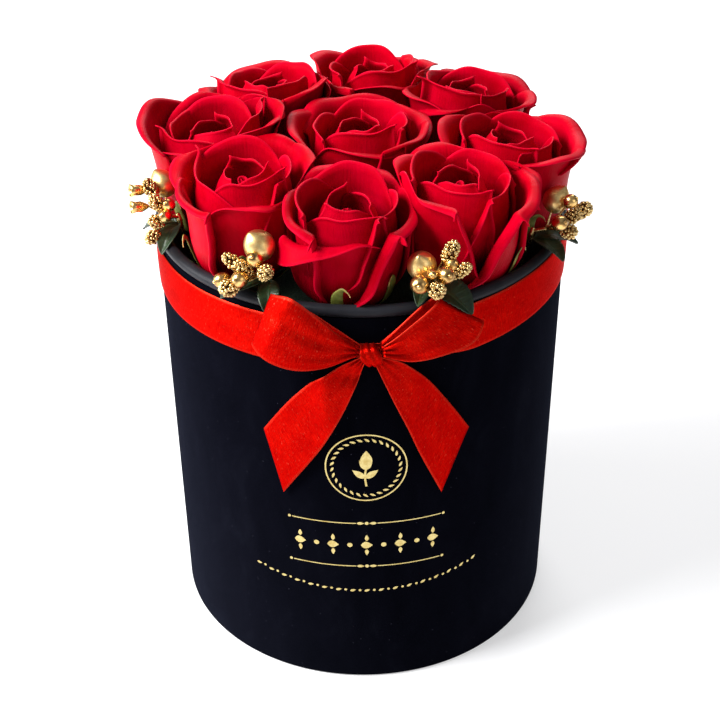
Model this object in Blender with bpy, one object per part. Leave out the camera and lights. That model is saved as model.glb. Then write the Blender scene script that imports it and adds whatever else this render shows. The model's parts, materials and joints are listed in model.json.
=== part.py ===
"""Round velvet flower box with nine soap roses, gold berry picks and a satin ribbon tied in a bow."""

import math

import bmesh
import bpy
from mathutils import Matrix, Vector

MM = 0.001
GAP = 0.3 * MM

# Box
BOX_RADIUS = 80 * MM
BOX_TOP = 180 * MM
WALL_INNER_RADIUS = 76 * MM
CARTON_OUTER_RADIUS = 78.4 * MM
BEAD_HEIGHT = 4.6 * MM
BEAD_OUTER_RADIUS = 80.6 * MM
WALL_TOP = BOX_TOP - BEAD_HEIGHT - GAP
VELVET_START = 0.6 * MM
BASE_THICKNESS = 3 * MM
FOAM_TOP = 140 * MM
ROUND_STEPS = 48

# Ribbon
RIBBON_WIDTH = 20 * MM
RIBBON_THICKNESS = 0.8 * MM
RIBBON_TOP = 174.5 * MM
RIBBON_INNER_RADIUS = BOX_RADIUS + GAP
KNOT_ANGLE = -88
KNOT_HEIGHT = 161 * MM
KNOT_SIZE = (12 * MM, 6.5 * MM, 11 * MM)
GATHERED_WIDTH = 9 * MM

# Roses
RING_ANGLES = {
    "front": -95,
    "front_right": -51,
    "right": -8,
    "back_right": 40,
    "back": 85,
    "back_left": 131,
    "left": 177,
    "front_left": 221,
}
RING_RADIUS = 55 * MM
RING_TILT = 8
HEAD_BASE_HEIGHT = 170 * MM
HEAD_OUTWARD = 28 * MM
HEAD_INWARD = 28.5 * MM
HEAD_SIDEWAYS = 23.4 * MM
HEAD_MEAN = 25 * MM
TIP_SHIFT = 4.6 * MM
CENTRE_REACH = 29 * MM
PETAL_COUNT = 5
HEAD_STEPS = 20
BUD_BASE = 19 * MM
BUD_TOP = 40 * MM
BUD_RADIUS = 6.2 * MM
CALYX_DEPTH = 8 * MM
SEPAL_REACH = 13 * MM
STEM_RADIUS = 1.5 * MM
STEM_END = -76 * MM
STEM_STEPS = 8

# Gold picks
PICK_ANGLES = {
    "left": 197,
    "front_left": 243,
    "front_right": -72,
    "right": -29,
    "back_right": 63,
    "back_left": 109,
}
PICK_RADIUS = 71.5 * MM
PICK_TILT = 10
PICK_ROOT_HEIGHT = 181 * MM
PICK_WIRE_RADIUS = 0.9 * MM
PICK_WIRE_END = -72 * MM
BALL_RADIUS = 4.6 * MM
BERRY_RADIUS = 2.2 * MM
GOLD_BUD_SIZE = (2.3 * MM, 4.3 * MM)
LEAF_LENGTH = 18 * MM
LEAF_WIDTH = 11 * MM
LEAF_THICKNESS = 0.8 * MM

for old in list(bpy.data.objects):
    bpy.data.objects.remove(old, do_unlink=True)

box_parts = bpy.data.collections.new("flower_box")
bpy.context.scene.collection.children.link(box_parts)
cutters = bpy.data.collections.new("cutters")
bpy.context.scene.collection.children.link(cutters)


def make_material(name, colour, roughness, metallic=0.0):
    material = bpy.data.materials.new(name)
    material.use_nodes = True
    shader = material.node_tree.nodes["Principled BSDF"]
    shader.inputs["Base Color"].default_value = (*colour, 1)
    shader.inputs["Roughness"].default_value = roughness
    shader.inputs["Metallic"].default_value = metallic
    return material


carton = make_material("black_carton", (0.012, 0.012, 0.014), 0.6)
velvet = make_material("black_velvet", (0.006, 0.007, 0.012), 0.95)
bead_black = make_material("black_rolled_rim", (0.010, 0.010, 0.012), 0.35)
foam_green = make_material("floral_foam", (0.04, 0.10, 0.05), 0.95)
satin = make_material("red_satin", (0.72, 0.02, 0.01), 0.35)
soap_red = make_material("red_soap_petal", (0.60, 0.005, 0.02), 0.5)
sepal_green = make_material("olive_green_calyx", (0.10, 0.14, 0.03), 0.6)
stem_green = make_material("green_stem", (0.03, 0.12, 0.03), 0.5)
leaf_green = make_material("dark_green_leaf", (0.01, 0.05, 0.015), 0.55)
gold = make_material("gold_paint", (0.80, 0.55, 0.20), 0.3, 1.0)


def place(name, bm, material, frame=None, smooth=True, collection=None):
    """Turns a finished bmesh into a named object that stands at the given frame."""
    bmesh.ops.recalc_face_normals(bm, faces=bm.faces)
    mesh = bpy.data.meshes.new(name)
    bm.to_mesh(mesh)
    bm.free()
    for face in mesh.polygons:
        face.use_smooth = smooth
    obj = bpy.data.objects.new(name, mesh)
    obj.data.materials.append(material)
    if frame is not None:
        obj.matrix_world = frame
    (collection or box_parts).objects.link(obj)
    if collection is cutters:
        obj.hide_render = True
        obj.display_type = "WIRE"
    return obj


def skin(bm, rings, closed=False):
    """Joins a run of equal rings with quads. The run closes on itself or gets two flat ends."""
    rows = [[bm.verts.new(point) for point in ring] for ring in rings]
    count = len(rows[0])
    pairs = list(zip(rows, rows[1:]))
    if closed:
        pairs.append((rows[-1], rows[0]))
    else:
        bm.faces.new(rows[0][::-1])
        bm.faces.new(rows[-1])
    for low, high in pairs:
        for i in range(count):
            j = (i + 1) % count
            bm.faces.new((low[i], low[j], high[j], high[i]))


def polar(radius, degrees, height):
    turn = math.radians(degrees)
    return Vector((radius * math.cos(turn), radius * math.sin(turn), height))


def ring_body(name, profile, material):
    """A hoop around the box axis. The profile gives (radius, height) points at each angle."""
    bm = bmesh.new()
    rings = []
    for step in range(ROUND_STEPS):
        degrees = 360 * step / ROUND_STEPS
        rings.append([polar(r, degrees, z) for r, z in profile(degrees)])
    skin(bm, rings, closed=True)
    return place(name, bm, material)


def disc_body(name, radius, low, high, material):
    bm = bmesh.new()
    rings = []
    for z in (low, high):
        rings.append([polar(radius, 360 * s / ROUND_STEPS, z) for s in range(ROUND_STEPS)])
    skin(bm, rings)
    return place(name, bm, material, smooth=False)


def tube_profile(inner, outer, low, high):
    return lambda degrees: [(inner, low), (outer, low), (outer, high), (inner, high)]


def bead_profile(degrees):
    """A rolled edge: flat underneath, round over the top."""
    low = BOX_TOP - BEAD_HEIGHT
    half = (BEAD_OUTER_RADIUS - WALL_INNER_RADIUS) / 2
    middle = WALL_INNER_RADIUS + half
    points = [(middle - half * 0.7, low), (middle + half * 0.7, low)]
    for turn in (0, 45, 90, 135, 180):
        lift = low + BEAD_HEIGHT / 2 + BEAD_HEIGHT / 2 * math.sin(math.radians(turn))
        points.append((middle + half * math.cos(math.radians(turn)), lift))
    return points


def band_profile(degrees):
    """The ribbon band, drawn together where it runs into the knot."""
    away = abs((degrees - KNOT_ANGLE + 180) % 360 - 180)
    spread = min(1, max(0, (away - 5) / 24))
    spread = spread * spread * (3 - 2 * spread)
    width = GATHERED_WIDTH + (RIBBON_WIDTH - GATHERED_WIDTH) * spread
    middle = KNOT_HEIGHT + (RIBBON_TOP - RIBBON_WIDTH / 2 - KNOT_HEIGHT) * spread
    outer = RIBBON_INNER_RADIUS + RIBBON_THICKNESS
    low, high = middle - width / 2, middle + width / 2
    return [(RIBBON_INNER_RADIUS, low), (outer, low), (outer, high), (RIBBON_INNER_RADIUS, high)]


def strip_body(name, stations, material):
    """A ribbon strip. Each station is a middle point, an across vector and a thickness vector."""
    bm = bmesh.new()
    rings = []
    for middle, across, through in stations:
        rings.append(
            [
                middle - across - through,
                middle + across - through,
                middle + across + through,
                middle - across + through,
            ]
        )
    skin(bm, rings)
    return place(name, bm, material)


def bow_loop(name, side):
    """One loop of the bow: a back layer on the band, a round outer end and a front layer."""
    stations = []
    count = 15
    for step in range(count):
        t = step / (count - 1)
        swing = math.sin(math.pi * t)
        degrees = KNOT_ANGLE + side * (6 + 25 * swing**0.8)
        radius = 83.0 * MM + 9 * MM * (3 * t * t - 2 * t**3) - 2.5 * MM * max(0, 2 * t - 1) ** 3
        lean = math.radians(28) * (3 * t * t - 2 * t**3) * swing
        width = GATHERED_WIDTH + (RIBBON_WIDTH - GATHERED_WIDTH) * min(1, 1.6 * swing)
        height = KNOT_HEIGHT + 9 * MM * swing
        out = polar(1, degrees, 0)
        across = (Vector((0, 0, 1)) * math.cos(lean) - out * math.sin(lean)) * width / 2
        stations.append([polar(radius, degrees, height), across])
    finished = []
    for i, (middle, across) in enumerate(stations):
        ahead = stations[min(i + 1, count - 1)][0] - stations[max(i - 1, 0)][0]
        through = ahead.cross(across).normalized() * RIBBON_THICKNESS / 2
        finished.append((middle, across, through))
    return strip_body(name, finished, satin)


def bow_tail(name, side):
    """One tail of the bow: it runs down the wall from the knot and ends in a slanted cut."""
    stations = []
    count = 9
    top = KNOT_HEIGHT - KNOT_SIZE[2] / 2 - 1.2 * MM
    for step in range(count):
        t = step / (count - 1)
        degrees = KNOT_ANGLE + side * (3 + 21 * t)
        height = top - 50 * MM * t
        radius = 82.2 * MM + 2.5 * MM * math.sin(math.pi * t)
        width = GATHERED_WIDTH * 0.7 + (RIBBON_WIDTH - GATHERED_WIDTH * 0.7) * min(1, 2 * t)
        out = polar(1, degrees, 0)
        sideways = Vector((-out.y, out.x, 0)) * side
        slope = math.radians(26 + 34 * max(0, t - 0.75) / 0.25)
        across = (sideways * math.cos(slope) + Vector((0, 0, 1)) * math.sin(slope)) * width / 2
        through = out * RIBBON_THICKNESS / 2
        stations.append((polar(radius, degrees, height), across, through))
    return strip_body(name, stations, satin)


def knot_body():
    bm = bmesh.new()
    bmesh.ops.create_cube(bm, size=1.0)
    bmesh.ops.scale(bm, vec=(KNOT_SIZE[1], KNOT_SIZE[0], KNOT_SIZE[2]), verts=bm.verts)
    bmesh.ops.bevel(bm, geom=bm.edges[:], offset=1.8 * MM, segments=2, affect="EDGES", profile=0.5)
    radius = RIBBON_INNER_RADIUS + RIBBON_THICKNESS + GAP + KNOT_SIZE[1] / 2 + 0.2 * MM
    spot = polar(radius, KNOT_ANGLE, KNOT_HEIGHT)
    frame = Matrix.Translation(spot) @ Matrix.Rotation(math.radians(KNOT_ANGLE), 4, "Z")
    return place("bow_knot", bm, satin, frame)


def rod(bm, radius, low, high, steps):
    rings = []
    for z in (low, high):
        rings.append([polar(radius, 360 * s / steps, z) for s in range(steps)])
    skin(bm, rings)


def axis_frame(radius, degrees, height, tilt):
    """A frame whose X points away from the box axis and whose Z leans outward by the tilt."""
    turn = Matrix.Rotation(math.radians(degrees), 4, "Z")
    lean = Matrix.Rotation(math.radians(tilt), 4, "Y")
    return Matrix.Translation(polar(radius, degrees, height)) @ turn @ lean


def ring_reach(before, after):
    """How far a ring head reaches in each direction without entering its neighbours' cells."""

    def reach(degrees):
        turn = math.radians(degrees)
        length = HEAD_OUTWARD if math.cos(turn) > 0 else HEAD_INWARD
        oval = 1 / math.hypot(math.cos(turn) / length, math.sin(turn) / HEAD_SIDEWAYS)
        half = after if math.sin(turn) > 0 else before
        slope = math.tan(math.radians(half / 2))
        facing = abs(math.sin(turn)) - math.cos(turn) * slope
        room = (RING_RADIUS + TIP_SHIFT) * slope / facing if facing > 0.05 else 1.0
        return min(oval, room - 1.2 * GAP)

    return reach


def petal_rows():
    """The head's rows from the underside out over the petal tips and down into the cup.

    Each row is a share of the reach, a height, how deep its petals are cut apart and by how
    much of a petal they are turned.
    """
    underside = [(0.13, 0, 0, 0), (0.45, 2.5, 0, 0), (0.66, 9, 0, 0), (0.80, 20, 0.02, 0)]
    outer_tips = [(0.90, 30, 0.04, 0), (1.00, 35, 0.09, 0), (0.97, 37.5, 0.09, 0)]
    middle_tips = [(0.82, 35, 0.02, 0), (0.74, 39.5, 0.07, 0.5), (0.62, 37, 0.02, 0.5)]
    inner_tips = [(0.50, 41.5, 0.05, 0.2), (0.40, 41, 0.05, 0.2)]
    cup = [(0.32, 32, 0, 0), (0.30, 18.5, 0, 0)]
    return underside + outer_tips + middle_tips + inner_tips + cup


def petals_body(name, reach, spin, frame):
    bm = bmesh.new()
    rings = []
    for share, height, cut, phase in petal_rows():
        ring = []
        for step in range(HEAD_STEPS):
            degrees = 360 * step / HEAD_STEPS
            lobe = abs(math.sin(math.radians((degrees - spin) * PETAL_COUNT / 2) + math.pi * phase))
            radius = share * ((1 - share) * HEAD_MEAN + share * reach(degrees))
            ring.append(polar(radius * (1 - cut * (1 - lobe)), degrees, height * MM))
        rings.append(ring)
    skin(bm, rings)
    return place(name, bm, soap_red, frame)


def bud_body(name, spin, frame):
    """The rolled middle of a rose, a little off round, with a slanted top."""
    bm = bmesh.new()
    rings = []
    steps = 12
    for share, width in ((0, 0.85), (0.3, 1.0), (0.65, 1.0), (0.9, 0.8), (1.0, 0.5)):
        ring = []
        for step in range(steps):
            degrees = 360 * step / steps
            off = math.cos(math.radians(degrees - spin))
            radius = BUD_RADIUS * width * (1 - 0.08 * off * off)
            height = BUD_BASE + (BUD_TOP - BUD_BASE) * share * (0.97 + 0.03 * off)
            ring.append(polar(radius, degrees, height))
        rings.append(ring)
    skin(bm, rings)
    return place(name, bm, soap_red, frame)


def calyx_body(name, spin, frame):
    """The green cup under a head, with five sepals that curl down at their tips."""
    bm = bmesh.new()
    rings = []
    steps = 3 * PETAL_COUNT
    cup = [(2.2, -1, 0), (3.4, -0.8, 0), (6.0, -0.4, 0)]
    star = [(7.0, -0.24, 1), (7.0, -0.14, 1), (6.6, -0.045, 0)]
    for radius, depth, sepal in cup + star:
        ring = []
        for step in range(steps):
            tip = sepal and step % 3 == 0
            long_radius = SEPAL_REACH if tip else radius * MM
            drop = 3.2 * MM if tip else 0
            height = CALYX_DEPTH * depth - drop
            ring.append(polar(long_radius, spin + 360 * step / steps, height))
        rings.append(ring)
    skin(bm, rings)
    return place(name, bm, sepal_green, frame, smooth=False)


def stem_body(name, frame):
    bm = bmesh.new()
    rod(bm, STEM_RADIUS, STEM_END, -CALYX_DEPTH - GAP, STEM_STEPS)
    return place(name, bm, stem_green, frame)


def rose(place_name, frame, reach, spin):
    prefix = f"rose_{place_name}"
    petals_body(f"{prefix}_petals", reach, spin, frame)
    bud_body(f"{prefix}_bud", spin, frame)
    calyx_body(f"{prefix}_calyx", spin + 36, frame)
    stem_body(f"{prefix}_stem", frame)


def ball(bm, centre, radius, length=None, aim=None, around=6, rings=4):
    """A round or drawn-out berry with its long axis along aim."""
    size = Matrix.Diagonal((radius, radius, length or radius, 1))
    turn = Vector((0, 0, 1)).rotation_difference(aim or Vector((0, 0, 1))).to_matrix().to_4x4()
    where = Matrix.Translation(centre) @ turn @ size
    bmesh.ops.create_uvsphere(bm, u_segments=around, v_segments=rings, radius=1, matrix=where)


def pick_berries(frame, side):
    """The satellites that sit against the big ball: three berries and three drawn-out buds."""
    bm = bmesh.new()
    centre = pick_ball_centre()
    for out, across, up in ((-0.55, 0.35, 0.76), (0.15, -0.62, -0.77), (0.25, 0.60, 0.76)):
        aim = Vector((out, across * side, up)).normalized()
        ball(bm, centre + aim * (BALL_RADIUS + BERRY_RADIUS - 0.8 * MM), BERRY_RADIUS, aim=aim)
    for out, across, up in ((0.55, -0.32, 0.77), (0.90, 0.28, 0.10), (0.80, -0.34, -0.30)):
        aim = Vector((out, across * side, up)).normalized()
        reach = BALL_RADIUS + GOLD_BUD_SIZE[1] - 1.0 * MM
        ball(bm, centre + aim * reach, GOLD_BUD_SIZE[0], GOLD_BUD_SIZE[1], aim)
    return place("pick_berry_solids", bm, gold, frame, collection=cutters)


def pick_ball_centre():
    return Vector((4.5 * MM, 0, 10.5 * MM))


def pick_cluster(name, frame, side):
    bm = bmesh.new()
    rod(bm, PICK_WIRE_RADIUS, PICK_WIRE_END, 4 * MM, STEM_STEPS)
    cluster = place(name, bm, gold, frame)
    neck_bm = bmesh.new()
    foot = Vector((0, 0, 2.5 * MM))
    along = pick_ball_centre() - foot
    turn = Vector((0, 0, 1)).rotation_difference(along).to_matrix().to_4x4()
    rod(neck_bm, 1.2 * MM, 0, along.length, STEM_STEPS)
    bmesh.ops.transform(neck_bm, matrix=Matrix.Translation(foot) @ turn, verts=neck_bm.verts)
    neck = place(f"{name}_neck_solid", neck_bm, gold, frame, collection=cutters)
    ball_bm = bmesh.new()
    ball(ball_bm, pick_ball_centre(), BALL_RADIUS, around=10, rings=6)
    big = place(f"{name}_ball_solid", ball_bm, gold, frame, collection=cutters)
    for solid in (neck, big, pick_berries(frame, side)):
        join = cluster.modifiers.new("join", "BOOLEAN")
        join.operation = "UNION"
        join.solver = "EXACT"
        join.object = solid
    return cluster


def pick_leaf(name, frame):
    """A pointed leaf that leaves the wire low down and rises outward over the rim."""
    bm = bmesh.new()
    rings = []
    count = 7
    for step in range(count):
        t = step / (count - 1)
        width = LEAF_WIDTH / 2 * (0.12 + 0.88 * math.sin(math.pi * min(1, 0.08 + 0.9 * t)) ** 0.8)
        out = PICK_WIRE_RADIUS + GAP + 0.3 * MM + LEAF_LENGTH * t
        height = 1.2 * MM + 2.4 * MM * t
        fold = 0.8 * MM * (width / LEAF_WIDTH * 2)
        low = [(-width, fold), (0, 0), (width, fold)]
        ring = [Vector((out, y, height + z)) for y, z in low]
        ring += [Vector((out, y, height + z + LEAF_THICKNESS)) for y, z in reversed(low)]
        rings.append(ring)
    skin(bm, rings)
    return place(name, bm, leaf_green, frame, smooth=False)


def foam_body(holes):
    foam = disc_body("foam_block", WALL_INNER_RADIUS - 0.5 * MM, BASE_THICKNESS + GAP, FOAM_TOP, foam_green)
    bm = bmesh.new()
    for frame, radius, end in holes:
        before = len(bm.verts)
        rod(bm, radius + 0.4 * MM, end - 0.6 * MM, -12 * MM, STEM_STEPS)
        bm.verts.ensure_lookup_table()
        bmesh.ops.transform(bm, matrix=frame, verts=bm.verts[before:])
    drill = place("stem_hole_solids", bm, foam_green, collection=cutters)
    cut = foam.modifiers.new("stem_holes", "BOOLEAN")
    cut.operation = "DIFFERENCE"
    cut.solver = "EXACT"
    cut.object = drill


# Box shell
ring_body("tube_wall", tube_profile(WALL_INNER_RADIUS, CARTON_OUTER_RADIUS, 0, WALL_TOP), carton)
ring_body(
    "velvet_wrap",
    tube_profile(CARTON_OUTER_RADIUS + GAP, BOX_RADIUS, VELVET_START, WALL_TOP),
    velvet,
)
ring_body("rim_bead", bead_profile, bead_black)
disc_body("base_disc", WALL_INNER_RADIUS - 0.4 * MM, 0, BASE_THICKNESS, carton)

# Ribbon
ring_body("ribbon_band", band_profile, satin)
bow_loop("bow_loop_left", -1)
bow_loop("bow_loop_right", 1)
bow_tail("bow_tail_left", -1)
bow_tail("bow_tail_right", 1)
knot_body()

# Roses
stem_holes = []
ring_names = list(RING_ANGLES)
for index, ring_name in enumerate(ring_names):
    angle = RING_ANGLES[ring_name]
    gap_after = (RING_ANGLES[ring_names[(index + 1) % 8]] - angle) % 360
    gap_before = (angle - RING_ANGLES[ring_names[index - 1]]) % 360
    rose_frame = axis_frame(RING_RADIUS, angle, HEAD_BASE_HEIGHT, RING_TILT)
    rose(ring_name, rose_frame, ring_reach(gap_before, gap_after), 25 * index)
    stem_holes.append((rose_frame, STEM_RADIUS, STEM_END))
centre_frame = Matrix.Translation((0, 0, HEAD_BASE_HEIGHT))
rose("centre", centre_frame, lambda degrees: CENTRE_REACH, 10)
stem_holes.append((centre_frame, STEM_RADIUS, STEM_END))

# Gold picks
for index, (pick_name, angle) in enumerate(PICK_ANGLES.items()):
    pick_frame = axis_frame(PICK_RADIUS, angle, PICK_ROOT_HEIGHT, PICK_TILT)
    pick_cluster(f"pick_{pick_name}_cluster", pick_frame, 1 if index % 2 else -1)
    pick_leaf(f"pick_{pick_name}_leaf", pick_frame)
    stem_holes.append((pick_frame, PICK_WIRE_RADIUS, PICK_WIRE_END))

foam_body(stem_holes)
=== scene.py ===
"""Looks of the round velvet flower box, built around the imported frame."""

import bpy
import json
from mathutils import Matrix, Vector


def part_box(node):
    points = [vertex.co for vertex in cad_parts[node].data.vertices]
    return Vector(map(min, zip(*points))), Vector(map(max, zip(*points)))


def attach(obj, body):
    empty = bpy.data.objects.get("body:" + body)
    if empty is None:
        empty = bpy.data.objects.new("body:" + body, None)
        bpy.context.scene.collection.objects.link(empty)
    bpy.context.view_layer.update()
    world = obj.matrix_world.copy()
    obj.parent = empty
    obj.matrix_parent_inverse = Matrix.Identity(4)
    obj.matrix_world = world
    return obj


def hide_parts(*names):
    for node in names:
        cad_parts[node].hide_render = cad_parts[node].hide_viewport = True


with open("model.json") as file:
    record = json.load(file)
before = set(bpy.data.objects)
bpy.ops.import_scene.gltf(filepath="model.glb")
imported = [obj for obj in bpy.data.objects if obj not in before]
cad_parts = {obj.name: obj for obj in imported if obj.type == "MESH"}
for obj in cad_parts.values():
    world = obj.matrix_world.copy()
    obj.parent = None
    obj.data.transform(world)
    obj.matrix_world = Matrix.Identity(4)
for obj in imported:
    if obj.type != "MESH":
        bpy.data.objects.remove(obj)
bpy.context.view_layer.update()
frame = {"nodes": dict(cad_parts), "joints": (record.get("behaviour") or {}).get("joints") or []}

import json
import math
from types import SimpleNamespace

import bpy
import numpy as np
from mathutils import Matrix, Vector


def half_width(node):
    low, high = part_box(node)
    return (high.x - low.x) / 2


MM = 0.001
TURN = 2 * math.pi
BOX_R, RIM_R, CARTON_R = half_width("velvet_wrap"), half_width("rim_bead"), half_width("tube_wall")
RIM_LOW, RIM_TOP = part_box("rim_bead")[0].z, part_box("rim_bead")[1].z
BAND_LOW, BAND_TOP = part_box("ribbon_band")[0].z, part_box("ribbon_band")[1].z
WALL_INNER = 76 * MM
STEM_TOP, STEM_END = -8.3 * MM, -76 * MM
PICK_RADIUS, PICK_ROOT = 71.5 * MM, 181 * MM
KNOT_ANGLE = -88.0

joint_axis = {j["child"]: Vector(j["axis"]) for j in frame["joints"]}
scene = bpy.context.scene


# ---- materials
def rgba(value):
    """Gives a colour, which is a tuple of three, its alpha. Other values stay as they are."""
    return (*value, 1) if isinstance(value, tuple) and len(value) == 3 else value


class Shading:
    """One material: its Principled shader, and short calls for the nodes that feed it."""

    def __init__(self, name, colour, roughness, metallic=0.0, **sockets):
        self.mat = bpy.data.materials.new(name)
        self.mat.use_nodes = True
        self.tree = self.mat.node_tree
        self.shader = self.tree.nodes["Principled BSDF"]
        values = {"Base_Color": colour, "Roughness": roughness, "Metallic": metallic, **sockets}
        for socket, value in values.items():
            self.shader.inputs[socket.replace("_", " ")].default_value = rgba(value)

    def add(self, kind, output, inputs=None, **settings):
        """A node with its settings and its inputs, each a socket to link or a value."""
        node = self.tree.nodes.new(kind)
        for key, value in settings.items():
            setattr(node, key, value)
        for key, value in (inputs or {}).items():
            if isinstance(value, bpy.types.NodeSocket):
                self.tree.links.new(value, node.inputs[key])
            else:
                node.inputs[key].default_value = value
        return node.outputs[output]

    def coords(self, scale=(1, 1, 1), uv=False):
        at = self.add("ShaderNodeTexCoord", "UV" if uv else "Object")
        return self.add("ShaderNodeMapping", "Vector", dict(Vector=at, Scale=scale))

    def noise(self, at, scale, detail=3.0, rough=0.5, distortion=0.0):
        inputs = dict(Vector=at, Scale=scale, Detail=detail, Roughness=rough, Distortion=distortion)
        return self.add("ShaderNodeTexNoise", "Fac", inputs)

    def cells(self, at, scale):
        return self.add("ShaderNodeTexVoronoi", "Distance", dict(Vector=at, Scale=scale))

    def ramp(self, fac, *stops):
        output = self.add("ShaderNodeValToRGB", "Color", {"Fac": fac})
        elements = output.node.color_ramp.elements
        while len(elements) < len(stops):
            elements.new(0.5)
        for element, (position, colour) in zip(elements, stops):
            element.position = position
            element.color = rgba(colour)
        return output

    def grey(self, fac, low, high, start=0.0, end=1.0):
        inputs = {"Value": fac, "From Min": start, "From Max": end, "To Min": low, "To Max": high}
        return self.add("ShaderNodeMapRange", "Result", inputs)

    def mix(self, fac, a, b):
        return self.add("ShaderNodeMix", 2, {0: fac, 6: rgba(a), 7: rgba(b)}, data_type="RGBA")

    def times(self, a, b):
        return self.add("ShaderNodeMath", 0, {0: a, 1: b}, operation="MULTIPLY")

    def attribute(self, name):
        return self.add("ShaderNodeAttribute", "Fac", attribute_name=name)

    def bump(self, height, distance, strength, under=None):
        inputs = dict(Height=height, Distance=distance, Strength=strength)
        if under is not None:
            inputs["Normal"] = under
        return self.add("ShaderNodeBump", "Normal", inputs)

    def finish(self, **outputs):
        """Links each output to the shader's socket of that name and returns the material."""
        for socket, value in outputs.items():
            self.tree.links.new(value, self.shader.inputs[socket.replace("_", " ")])
        return self.mat


def velvet_material():
    sheen = dict(Sheen_Weight=0.05, Sheen_Roughness=0.4, Sheen_Tint=(0.45, 0.52, 0.85))
    n = Shading("velvet_black", (0.002, 0.002, 0.004), 0.9, IOR=1.06, Specular_IOR_Level=0.04, **sheen)
    at = n.coords()
    nap_and_sheen = n.noise(n.coords((1, 1, 0.45)), 55, 4, 0.62, 0.6)
    pile = n.noise(at, 2600, 2, 0.6)
    darkest, middling, palest = (0.0008, 0.0008, 0.0018), (0.0014, 0.0014, 0.003), (0.0028, 0.003, 0.0055)
    # painted sheen: the nap noise makes the base colour paler and bluer in soft patches, standing in for the
    # pile's changing sheen; it also varies the roughness and the bump
    base = n.ramp(nap_and_sheen, (0.3, darkest), (0.55, middling), (0.78, palest))
    lint = n.grey(n.cells(at, 230), 0.55, 0.0, 0.035, 0.055)
    return n.finish(
        Base_Color=n.mix(lint, base, (0.05, 0.05, 0.07)),
        Roughness=n.grey(nap_and_sheen, 0.95, 0.75),
        Normal=n.bump(pile, 0.25 * MM, 0.5, n.bump(nap_and_sheen, 0.5 * MM, 0.25)),
    )


def rim_material():
    n = Shading("rim_black", (0.012, 0.012, 0.015), 0.34, IOR=1.19)
    grain = n.noise(n.coords(), 1400, 3, 0.6)
    wear = n.noise(n.coords(), 60, 3, 0.5)
    return n.finish(
        Base_Color=n.ramp(wear, (0.35, (0.008, 0.008, 0.010)), (0.7, (0.02, 0.021, 0.026))),
        Roughness=n.grey(wear, 0.26, 0.44),
        Normal=n.bump(grain, 0.08 * MM, 0.35),
    )


def carton_material():
    n = Shading("carton_black", (0.010, 0.010, 0.012), 0.55)
    fibre = n.noise(n.coords((1, 1, 0.3)), 900, 4, 0.65)
    return n.finish(
        Base_Color=n.ramp(fibre, (0.3, (0.006, 0.006, 0.008)), (0.75, (0.018, 0.018, 0.022))),
        Roughness=n.grey(fibre, 0.45, 0.7),
        Normal=n.bump(fibre, 0.06 * MM, 0.4),
    )


def foam_material():
    n = Shading("foam_green", (0.03, 0.08, 0.035), 0.95)
    at = n.coords()
    pores = n.cells(at, 1100)
    base = n.ramp(n.noise(at, 90, 3), (0.3, (0.006, 0.018, 0.008)), (0.7, (0.016, 0.038, 0.017)))
    return n.finish(
        Base_Color=n.mix(n.grey(pores, 0.7, 0.0, 0.1, 0.6), base, (0.002, 0.007, 0.003)),
        Normal=n.bump(pores, 0.5 * MM, 0.8),
    )


def petal_material(name, seed, deep=1.0):
    """Matte soap petal with fine lengthwise creases at the base. Its colour holds painted light: a painted
    highlight, paler and pinker, towards the upper edge and the free side where the lips catch the light, and
    painted shade, deep red, towards the foot inside the cup.
    """
    under = dict(Subsurface_Weight=0.05, Subsurface_Scale=0.8 * MM, Subsurface_Radius=[1.0, 0.05, 0.1])
    gloss = dict(IOR=1.12, Specular_IOR_Level=0.5, Specular_Tint=(1.0, 0.0, 0.12))
    n = Shading(name, (0.62, 0.0, 0.012), 0.5, **under, **gloss)
    at = n.coords()
    cloud = n.noise(at, 70 + seed, 3, 0.55)
    creases = n.noise(n.coords((46, 3.2, 1), uv=True), 1.0, 3, 0.6, 0.35)
    grain = n.noise(at, 1900, 2, 0.6)
    low = n.attribute("low")
    body = n.ramp(cloud, (0.3, (0.34 * deep, 0.0, 0.005)), (0.7, (0.50 * deep, 0.0, 0.013)))
    # painted shade: the low mark darkens the colour to deep red towards the foot, where the cup lies in shade
    body = n.mix(n.times(low, 0.9), body, (0.07 * deep, 0.0, 0.001))
    deepest = n.grey(n.times(low, low), 0.05, 0.99)
    return n.finish(
        # painted highlight: the edge mark pales and pinks the colour on the lips, where they catch the light
        Base_Color=n.mix(n.times(n.attribute("edge"), 0.5), body, (0.68, 0.004, 0.030)),
        Roughness=n.grey(cloud, 0.36, 0.52),
        Normal=n.bump(grain, 0.05 * MM, 0.3, n.bump(n.times(creases, deepest), 3.2 * MM, 0.9)),
    )


def green_material(name, dark, light, tip=None):
    n = Shading(name, light, 0.5, Subsurface_Weight=0.08, Subsurface_Scale=1 * MM)
    cloud = n.noise(n.coords(), 260, 4, 0.6)
    lines = n.noise(n.coords((60, 4, 1), uv=True), 1.0, 2, 0.5)
    body = n.ramp(cloud, (0.3, dark), (0.7, light))
    if tip is not None:
        body = n.mix(n.attribute("edge"), body, tip)
    return n.finish(Base_Color=body, Roughness=n.grey(cloud, 0.4, 0.62), Normal=n.bump(lines, 0.2 * MM, 0.4))


def leaf_material():
    """Dark waxed leaf with a pale midrib and side veins set by its own flat coordinates."""
    n = Shading("leaf_dark_green", (0.012, 0.05, 0.016), 0.42)
    vein = n.attribute("edge")
    cloud = n.noise(n.coords(), 300, 4, 0.6)
    body = n.ramp(cloud, (0.3, (0.005, 0.016, 0.006)), (0.72, (0.016, 0.042, 0.012)))
    return n.finish(
        Base_Color=n.mix(n.times(vein, 0.6), body, (0.035, 0.07, 0.02)),
        Roughness=n.grey(cloud, 0.34, 0.5),
        Normal=n.bump(vein, 0.35 * MM, 0.5, n.bump(cloud, 0.2 * MM, 0.3)),
    )


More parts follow.
